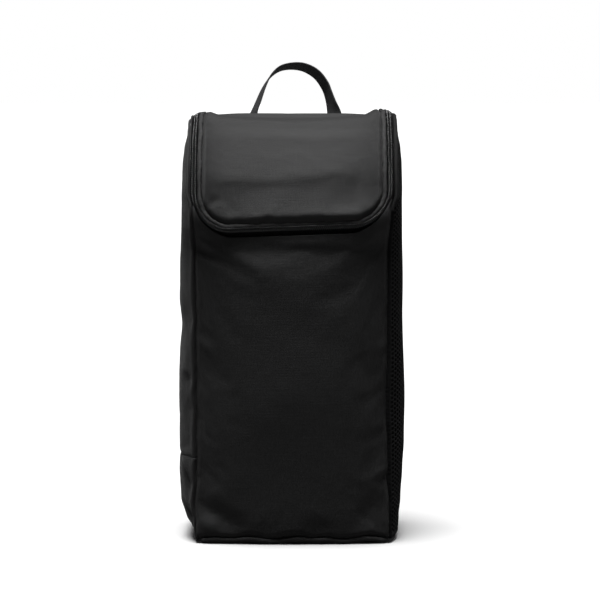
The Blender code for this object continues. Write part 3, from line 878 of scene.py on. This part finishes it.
def gusset_place(side, low, high, spacing=crowd):
    """A gusset's point function. v runs up it, over the shoulder's curve at the top."""

    def place(u, v):
        rise, edge_y = 0.0, None
        if high <= SHOULDER_Z:
            z = mix(low, high, v)
        elif v <= 1 - ARC_SHARE:
            z = mix(low, skin_side(CURVE_END, 0.0006)[1], v / (1 - ARC_SHARE))
        else:
            rise = (v - 1 + ARC_SHARE) / ARC_SHARE
            along = mix(CURVE_END, CURVE_START, rise)
            edge_y, z = skin_side(along, mix(0.0006, 0.0012, rise) + ridge_lift(side * 0.09, along))
        if edge_y is None:
            edge_y = front_y(z)
        edge_y -= 0.0011 * smooth((z - 0.29) / 0.012) * (1 - smooth(rise / 0.9))
        u = spacing(u)
        y = mix(edge_y, BACK_Y - INSET, u)
        if rise > 0:
            lift = ridge_lift(side * 0.09, ZIP_FRONT - y) - ridge_lift(side * 0.09, ZIP_FRONT - edge_y)
            z += lift * rise ** 3
        near, far = seam_x(side, z), BACK_HALF_X + 0.0035 * smooth((z - MOUTH_Z) / 0.05)
        base = mix(near, far, smooth(u))
        crown = 1 - abs(2 * u - 1) ** 4
        x = base + (widest_x(side, z) - base) * crown
        room = min(u, 1 - u) * (BACK_Y - edge_y)
        turn_in = bell(room, SEAM_ROLL)
        x -= 0.0012 * turn_in
        y += (SEAM_TUCK if u < 0.5 else -0.0018) * turn_in
        if u < 0.5:
            y -= 0.0019 * bell(room - 0.0026, 0.0016)
        x += 0.0008 * ripple(y, z, 20, 2 + side) * smooth(room / 0.02) * smooth(z / 0.02)
        return Vector((side * x, y, z))

    return place


LEFT_FOLDS = (
    (-45, 62, 12, 3.5, 60, -3),
    (-46, 69, 10, 3, 50, 2.6),
    (-46, 28, 14, 4, 35, -3.2),
    (-44, 23, 12, 3, 30, 2.2),
    (-50, 148, 8, 2.5, 70, -1.6),
    (-48, 154, 10, 3, 10, 1.4),
    (-10, 190, 50, 14, 80, 1.4),
    (20, 110, 30, 10, 40, -2),
    (0, 270, 30, 11, -30, -1.8),
)
LEFT_CROSS_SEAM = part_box("left_gusset_upper")[0].z


def build_left_gusset():
    lower_place = gusset_place(-1, GUSSET_FOOT, LEFT_CROSS_SEAM)
    upper_place = gusset_place(-1, LEFT_CROSS_SEAM, TOP_Z)

    def hemmed(place, at):
        def tucked(u, v):
            point = place(u, v)
            point.x += 0.0009 * bell(point.z - at, 0.0016)
            return point
        return tucked

    columns = 36
    for name, place, rows, node, height, area in (
        ("left_lower_cloth", lower_place, 24, "left_gusset_lower", 0.073, 0.0093),
        ("left_upper_cloth", upper_place, 96, "left_gusset_upper", 0.304, 0.036),
    ):
        panel = cloth_grid(name, columns, rows, hemmed(place, LEFT_CROSS_SEAM), (0.118, height), NYLON)
        cloth_relax(panel, border(columns, rows), 0.004, 0.3, 0.04, bending=1.6)
        crease(panel, LEFT_FOLDS, lambda co: (co.y, co.z), Vector((-1, 0, 0)))
        thicken(panel, CLOTH, 1)
        settle(panel, "bag", "nylon", node)


HOLE_COLUMNS = 34
HOLE_ROWS = 108
HOLE_SIDES = 8
MESH_SIZE = (0.118, 0.385)


def build_mesh_gusset():
    """The mesh side: a knit with staggered rows of real hollows, over a plain backing; the hollows' deep
    walls and floors take painted shade.
    """
    place = gusset_place(1, GUSSET_FOOT, TOP_Z, lambda u: u)
    points, uvs, faces, slots = [], [], [], []
    shared = {}    # corners by half columns and half rows

    def add(u, v, sink=0.0):
        spot = place(u, v)
        if sink:
            ahead = place(min(1.0, u + 0.004), v) - place(max(0.0, u - 0.004), v)
            above = place(u, min(1.0, v + 0.002)) - place(u, max(0.0, v - 0.002))
            spot -= ahead.cross(above).normalized() * sink
        points.append(spot)
        uvs.append((u * MESH_SIZE[0], v * MESH_SIZE[1]))
        return len(points) - 1

    def corner(half_u, half_v):
        key = (half_u, half_v)
        if key not in shared:
            shared[key] = add(half_u / (2 * HOLE_COLUMNS), half_v / (2 * HOLE_ROWS))
        return shared[key]

    def close(slot, *ring):
        faces.append(ring)
        slots.append(slot)

    for i in range(HOLE_COLUMNS):
        for j in range(HOLE_ROWS):
            left, low = 2 * i, 2 * j + i % 2
            high = min(low + 2, 2 * HOLE_ROWS)
            if low == 1 and j == 0:
                close(0, corner(left, 0), corner(left + 2, 0), corner(left + 2, 1), corner(left, 1))
            if high - low < 2:
                close(0, corner(left, low), corner(left + 2, low),
                      corner(left + 2, high), corner(left, high))
                continue
            ring = [corner(left + 2, low + 1), corner(left + 2, high), corner(left + 1, high),
                    corner(left, high), corner(left, low + 1), corner(left, low),
                    corner(left + 1, low), corner(left + 2, low)]
            if i in (0, HOLE_COLUMNS - 1) or j in (0, HOLE_ROWS - 1):
                close(0, *ring)
                continue
            mid_u, mid_v = (left + 1) / (2 * HOLE_COLUMNS), (low + 1) / (2 * HOLE_ROWS)
            lips = []
            for share, sink in ((0.8, 0.0002), (0.68, 0.0008), (0.56, 0.0018)):
                lip = []
                for k in range(HOLE_SIDES):
                    turn = 2 * math.pi * k / HOLE_SIDES
                    u = mid_u + share * math.cos(turn) / (2 * HOLE_COLUMNS)
                    v = mid_v + share * math.sin(turn) / (2 * HOLE_ROWS)
                    lip.append(add(u, v, sink))
                lips.append(lip)
            # slot 1, the deep walls and floors of the hollows, gets the painted shade
            for outer, inner, slot in ((ring, lips[0], 0), (lips[0], lips[1], 0), (lips[1], lips[2], 1)):
                for k in range(HOLE_SIDES):
                    n = (k + 1) % HOLE_SIDES
                    close(slot, outer[k], outer[n], inner[n], inner[k])
            close(1, *lips[2])
    face = mesh_object("mesh_face", points, faces, uvs, MESH_FACE)
    face.data.materials.append(MESH_HOLE_SHADE)
    face.data.polygons.foreach_set("material_index", slots)
    settle(face, "bag", "spacer_mesh", "right_mesh_gusset")

    def inside(u, v):
        point = place(u, v)
        point.x -= 0.0019
        return point

    backing = cloth_grid("mesh_backing", 30, 90, inside, MESH_SIZE, MESH_FACE)
    thicken(backing, 0.0006)
    settle(backing, "bag", "spacer_mesh")


BACK_FOOT = 0.0045    # height of the back panel's lower edge


def build_back():
    columns, rows = 56, 100
    top = TOP_Z - 0.0022

    def place(u, v):
        share = 2 * crowd(u, 1.7) - 1
        z = mix(BACK_FOOT, top, v)
        half = BACK_HALF_X + 0.003 * smooth((z - MOUTH_Z) / 0.05)
        room = (1 - abs(share)) * half
        tuck = 0.0018 * bell(room, 0.0022)
        tuck += 0.0012 * bell(z - BACK_FOOT, 0.0025)
        swell = 0.0022 * smooth(room / 0.05) * smooth(z / 0.06) * smooth((0.35 - z) / 0.08)
        wave = 0.0009 * ripple(share * half, z, 18, 9)
        wave *= smooth(room / 0.02) * smooth((0.345 - z) / 0.03)
        return Vector((-share * half, BACK_Y - INSET - tuck + swell + wave, z))

    back = cloth_grid("back_cloth", columns, rows, place, (0.178, 0.372), NYLON)
    stride = columns + 1
    upper = [j * stride + i for j in range(rows + 1) for i in range(columns + 1) if j > rows * 0.92]
    cloth_relax(back, sorted(set(border(columns, rows) + upper)), 0.005, 0.4, 0.05, bending=1.6)
    thicken(back, CLOTH, 1)
    settle(back, "bag", "nylon", "back_panel")


def side_bow(x, y):
    """How far the gusset above pushes the base's edge out at a side."""
    across = 2 * (y - FRONT_Y) / (BACK_Y - FRONT_Y) - 1
    crown = 1 - min(1.0, abs(across)) ** 4
    side = math.copysign(1, x)
    return side * crown * (widest_x(side, GUSSET_FOOT) - FOOT_HALF_X)


def build_base():
    def place(u, v):
        x, y = (2 * u - 1) * 0.086, (2 * v - 1) * 0.0566
        x += side_bow(x, y) * abs(2 * u - 1) ** 3
        y -= bulge(x, 0) * max(0.0, 1 - 2 * v)
        lift = 0.0004 * ripple(x, y, 30, 12) + 0.0006
        return Vector((x, y, 0.0006 + max(0.0, lift)))

    base = cloth_grid("base_cloth", 50, 32, place, (0.172, 0.113), NYLON)
    thicken(base, 0.0008)
    settle(base, "bag", "nylon", "base_panel")


def base_ring(offset, z_at):
    """A loop round the base at a distance out from the seams, as points and outward directions."""
    half_y = -FRONT_Y
    corners = ((0.0845, -half_y), (0.0865, half_y), (-0.0865, half_y), (-0.083, -half_y))
    points, outs = [], []
    for (x0, y0), (x1, y1) in zip(corners, corners[1:] + corners[:1]):
        run = Vector((x1 - x0, y1 - y0, 0))
        out = Vector((run.y, -run.x, 0)).normalized()
        count = round(run.length / 0.0022)
        inset = 0.004 / run.length
        for i in range(count + 1):
            t = mix(inset, 1 - inset, i / count)
            at = Vector((x0, y0, 0)) + run * t + out * offset
            if out.y < -0.9:
                at.y -= bulge(at.x, 0)
            elif abs(out.x) > 0.9:
                at.x += side_bow(at.x, at.y)
            points.append(Vector((at.x, at.y, z_at)))
            outs.append(out)
    return points, outs


def build_base_piping():
    """The base seam's hem: a flat lip that stands on the floor and waves a little."""
    centres, outs = base_ring(-0.0008, 0.003)
    shaped, across, girth = [], [], []
    for centre, out in zip(centres, outs):
        sway = 0.0008 * ripple(centre.x, centre.y, 55, 21) + 0.0005 * ripple(centre.x, centre.y, 140, 22)
        lift = base_wave(centre.x + 0.3 * (centre.y - FRONT_Y))
        shaped.append(centre + out * sway + Vector((0, 0, max(lift, -0.0004))))
        across.append(out)
        girth.append(1 + 0.2 * ripple(centre.x, centre.y, 110, 24))
    girth = np.array(girth)
    piping = sweep("base_seam_roll", shaped, across, 0.0014 * girth, 0.0023 * girth, NYLON, 12, closed=True)
    settle(piping, "bag", "nylon", "base_piping")


def build_welts():
    """The bound edges of the gussets beside the chain; the right one is the wider, and its darker cloth is
    painted shade.
    """
    end = CURVE_END + SHOULDER_Z - 0.295
    for side, name, wide, x_mid, cloth, node in (
        (-1, "left_mouth_binding", 0.0012, 0.0921, NYLON, "left_mouth_welt"),
        (1, "right_mouth_binding", 0.0019, 0.0918, SHADED_EDGE_CLOTH, "right_mouth_welt"),
    ):
        centres, across, girth = [], [], []
        for i in range(121):
            along = mix(0.0004, end, i / 120)
            shift = 0.0003 * ripple(along, 0, 90, 30 + side)
            point = on_skin(side * (x_mid + shift), along, 0.0014)
            low = smooth((0.315 - point.z) / 0.012) if along > CURVE_END else 0.0
            point.x = mix(point.x, side * (seam_x(side, point.z) + 0.0012), low)
            point.y += low * (front_y(point.z) - (FRONT_Y + INSET - lean_at(point.z)))
            centres.append(point)
            across.append(Vector((1, 0, 0)))
            taper = smooth((1 - i / 120) / 0.1)
            girth.append((1 + 0.1 * ripple(along, 1, 170, 32 + side)) * mix(0.45, 1, taper))
        girth = np.array(girth)
        welt = sweep(name, centres, across, wide * girth, 0.0013 * girth, cloth, 12)
        settle(welt, "bag", "nylon", node)


# ---- handle
HANDLE_LOW, HANDLE_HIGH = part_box("handle_loop")
PIVOT_Z = HANDLE_LOW.z - 0.001
END_LOW, END_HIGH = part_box("left_handle_end")
END_X = -(END_LOW.x + END_HIGH.x) / 2
WEBBING_Y = (END_LOW.y + END_HIGH.y) / 2
HANDLE_LEAN = math.radians(24)
# the loop seen square on, left foot to right foot, in millimetres: x, height above the sewn ends,
# and how many degrees its width has turned out of the loop's depth (90 is flat against the back)
LOOP = ((-35.0, 0, -90), (-35.7, 5.5, -64), (-36.6, 11.6, -33), (-31.8, 25.2, -24), (-26.8, 39.0, -18),
        (-20.6, 50.5, -12), (-12.0, 58.2, -6), (-1.0, 60.8, 0), (11.0, 59.4, 8), (22.4, 52.4, 16),
        (30.0, 41.5, 21), (33.6, 31.5, 23), (36.2, 21.3, 34), (38.7, 11.3, 60), (37.2, 5.0, 76),
        (35.0, 0, 90))


def spline(points, count):
    """A smooth curve through the points, evenly by number (Catmull-Rom)."""
    points = [np.array(p, float) for p in points]
    points = [2 * points[0] - points[1]] + points + [2 * points[-1] - points[-2]]
    made = []
    spans = len(points) - 3
    for k in range(count + 1):
        at = k / count * spans
        i = min(int(at), spans - 1)
        t = at - i
        a, b, c, d = points[i:i + 4]
        made.append(0.5 * (2 * b + (c - a) * t + (2 * a - 5 * b + 4 * c - d) * t ** 2
                           + (3 * b - a - 3 * c + d) * t ** 3))
    return made


STITCH_MARGIN = 0.0022    # the box stitches keep this far from the webbing's edges
SEWN_STEPS = 12


def build_handle():
    """One length of webbing: sewn flat on the back, twisting up into the loop and down again."""
    count = 150
    flat = spline([(x / 1000, rise / 1000, math.radians(turn)) for x, rise, turn in LOOP], count)
    up = Vector((0, math.sin(HANDLE_LEAN), math.cos(HANDLE_LEAN)))
    away = Vector((0, math.cos(HANDLE_LEAN), -math.sin(HANDLE_LEAN)))
    foot = Vector((0, WEBBING_Y, PIVOT_Z))
    centres, widths = [], []
    for k, (x, rise, turn) in enumerate(flat):
        before, after = flat[max(0, k - 1)], flat[min(count, k + 1)]
        run = Vector((after[0] - before[0], 0, 0)) + up * (after[1] - before[1])
        run.normalize()
        outer = away.cross(run)
        settle_in = smooth(rise / 0.008)
        centres.append(foot + Vector((x, 0, 0)) + mix(Vector((0, 0, 1)), up, settle_in) * rise)
        widths.append(outer * math.sin(turn) + away * math.cos(turn))
    sewn_length = END_HIGH.z - END_LOW.z

    def sewn(foot):
        """Points down the end that is sewn to the back."""
        return [foot - Vector((0, 0, sewn_length * k / SEWN_STEPS)) for k in range(1, SEWN_STEPS + 1)]

    centres = sewn(centres[0])[::-1] + centres + sewn(centres[-1])
    widths = [widths[0]] * SEWN_STEPS + widths + [widths[-1]] * SEWN_STEPS
    half = (END_HIGH.x - END_LOW.x) / 2
    length = [0.0]
    for a, b in zip(centres, centres[1:]):
        length.append(length[-1] + (b - a).length)
    last = len(centres) - 1

    def place(u, v):
        i = round(u * last)
        fray = 0.00012 * ripple(length[i], v, 900, 40)
        return centres[i] + widths[i] * ((v - 0.5) * 2 * (half + fray))

    loop = cloth_grid("handle_webbing", last, 8, place, (length[-1], 2 * half), WEBBING)
    thicken(loop, 0.0013)
    rounding = loop.modifiers.new("woven_edge", "BEVEL")
    rounding.width = 0.0003
    rounding.segments = 2
    rounding.limit_method = "ANGLE"
    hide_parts("handle_loop", "left_handle_end", "right_handle_end")
    start, end = (0, WEBBING_Y, PIVOT_Z - 0.0025), (0, WEBBING_Y, PIVOT_Z + 0.0045)
    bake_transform(loop)
    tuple(start)
    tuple(end)
    for name, x in (("left_box_stitch", -END_X), ("right_box_stitch", END_X)):
        box_stitch(name, x, half - STITCH_MARGIN)


def stitch_line(start, end):
    """A row of single stitches from start to end, as separate short threads."""
    length, gap, lift = 0.0026, 0.0008, Vector((0, 0.0003, 0))
    run = end - start
    count = max(1, int((run.length + gap) / (length + gap)))
    step = run / count
    pieces = []
    for i in range(count):
        a = start + step * i + step.normalized() * gap / 2
        b = start + step * (i + 1) - step.normalized() * gap / 2
        centres = []
        for k in range(7):
            t = k / 6
            centres.append(mix(a, b, t) + lift * (4 * t * (1 - t)) - lift * 0.8)
        across = [lift.cross(run)] * 7
        taper = np.array([0.5, 0.9, 1, 1, 1, 0.9, 0.5]) * 0.0003
        pieces.append(sweep("stitch", centres, across, taper, taper * 0.8, THREAD, 6))
    return pieces


def box_stitch(name, x, half):
    """The square of stitches with a cross that holds an end of the handle."""
    y = WEBBING_Y + 0.0009
    low, high = END_LOW.z + STITCH_MARGIN, END_HIGH.z - STITCH_MARGIN
    corners = [Vector((x - half, y, low)), Vector((x + half, y, low)),
               Vector((x + half, y, high)), Vector((x - half, y, high))]
    pieces = []
    for a, b in zip(corners, corners[1:] + corners[:1]):
        pieces += stitch_line(a, b)
    pieces += stitch_line(corners[0], corners[2])
    pieces += stitch_line(corners[1], corners[3])
    settle(join(name, pieces), "bag", "webbing")


# ---- inside seams and CAD nodes that keep their shape
BACK_FIN_TOP = 0.366


def build_bindings():
    """The bound seam allowances inside, which stand in from the corners like fins."""
    count = 90
    for place, side, end, top in (
        ("front_left", -1, -1, MOUTH_Z),
        ("front_right", 1, -1, MOUTH_Z),
        ("back_left", -1, 1, BACK_FIN_TOP),
        ("back_right", 1, 1, BACK_FIN_TOP),
    ):
        centres, across = [], []
        for i in range(count + 1):
            z = mix(0.014, top, i / count)
            x = seam_x(side, z) if end < 0 else BACK_HALF_X
            y = front_y(z) if end < 0 else BACK_Y - INSET
            inward = Vector((-side, -end, 0)).normalized()
            bend = Vector((-side * 0.4, end * 0.4, 0)) * ripple(z, end, 14, 50 + side)
            direction = (inward + bend * 0.5).normalized()
            centres.append(Vector((side * x, y, z)) + direction * 0.0068)
            across.append(direction)
        fin = sweep(place + "_fin", centres, across, 0.004, 0.0009, BINDING)
        settle(fin, "bag", "binding", place + "_seam_binding")
    centres, outs = base_ring(-0.0055, 0.0062)
    across = [Vector((0, 0, 1))] * len(centres)
    ring = sweep("base_fin", centres, across, 0.0038, 0.0009, BINDING, closed=True)
    settle(ring, "bag", "binding", "base_seam_binding")


def add_cloth_uv(obj):
    """CAD nodes have no cloth coordinates, so their tape weave is laid on by box projection."""
    layer = obj.data.uv_layers.get("cloth") or obj.data.uv_layers.new(name="cloth")
    for polygon in obj.data.polygons:
        axis = max(range(3), key=lambda k: abs(polygon.normal[k]))
        a, b = [k for k in range(3) if k != axis]
        for loop in polygon.loop_indices:
            co = obj.data.vertices[obj.data.loops[loop].vertex_index].co
            layer.data[loop].uv = (co[a], co[b])


def dress_cad():
    for node, material in (
        ("hinge_seam_binding", BINDING),
        ("handle_backing_strip", WEBBING),
        ("left_zip_stop", ZINC),
        ("right_zip_stop", ZINC),
        ("zip_slider", ZINC),
        ("pull_tab", ZINC),
    ):
        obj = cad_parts[node]
        if material in (BINDING, WEBBING):
            add_cloth_uv(obj)
        obj.data.materials.clear()
        obj.data.materials.append(material)


# ---- floor, light and camera
FLOOR_SIZE = 30
FLOOR_TONE = 0.9
FLOOR_BOUNCE = 0.12    # the floor throws little light back up, as under a black flag


def aim(obj, direction):
    """Turns a light or camera to look along a direction, and adds it to the scene."""
    obj.rotation_mode = "QUATERNION"
    obj.rotation_quaternion = direction.to_track_quat("-Z", "Y")
    bpy.context.scene.collection.objects.link(obj)


def soft_sun(name, energy, degrees, direction):
    sun = bpy.data.lights.new(name, "SUN")
    sun.energy = energy
    sun.angle = math.radians(degrees)
    aim(bpy.data.objects.new(name, sun), Vector(direction))


def build_stage():
    material, tree, shader = new_material("pale_floor", 0.9, specular=0.1)
    path = tree.nodes.new("ShaderNodeLightPath")
    shade = ramped(tree, path.outputs["Is Camera Ray"], FLOOR_BOUNCE, FLOOR_TONE)
    grey = tree.nodes.new("ShaderNodeCombineColor")
    for channel in grey.inputs[:3]:
        tree.links.new(shade, channel)
    tree.links.new(grey.outputs[0], shader.inputs["Base Color"])

    def place(u, v):
        return Vector(((u - 0.5) * FLOOR_SIZE, (v - 0.5) * FLOOR_SIZE, 0))

    cloth_grid("studio_floor", 2, 2, place, (FLOOR_SIZE, FLOOR_SIZE), material)

    soft_sun("overhead_softbox", 4.4, 28, (0.078, 0.066, -1.0))
    soft_sun("far_side_softbox", 0.35, 60, (-0.75, -0.6, -0.35))

    world = bpy.data.worlds.new("studio")
    bpy.context.scene.world = world
    world.use_nodes = True
    tree = world.node_tree
    background = tree.nodes["Background"]
    path = tree.nodes.new("ShaderNodeLightPath")
    tree.links.new(ramped(tree, path.outputs["Is Camera Ray"], 0.05, 1.0), background.inputs["Strength"])
    background.inputs["Color"].default_value = (1, 1, 1, 1)
    bpy.context.scene.view_settings.view_transform = "Standard"


def build_camera():
    distance, elevation = 2.2, math.radians(6)
    target = Vector((0.0069, -0.058, 0.219))
    camera = bpy.data.cameras.new("camera")
    camera.sensor_width = 36
    camera.lens = camera.sensor_width * distance / 0.531    # 0.531 m wide at the target
    camera.clip_end = 60
    obj = bpy.data.objects.new("camera", camera)
    back = Vector((0, -math.cos(elevation), math.sin(elevation)))
    obj.location = target + back * distance
    aim(obj, -back)
    bpy.context.scene.camera = obj


build_camera()
build_stage()
build_zip()
build_lid()
build_front()
build_left_gusset()
build_mesh_gusset()
build_back()
build_base()
build_base_piping()
build_welts()
build_handle()
build_bindings()
dress_cad()
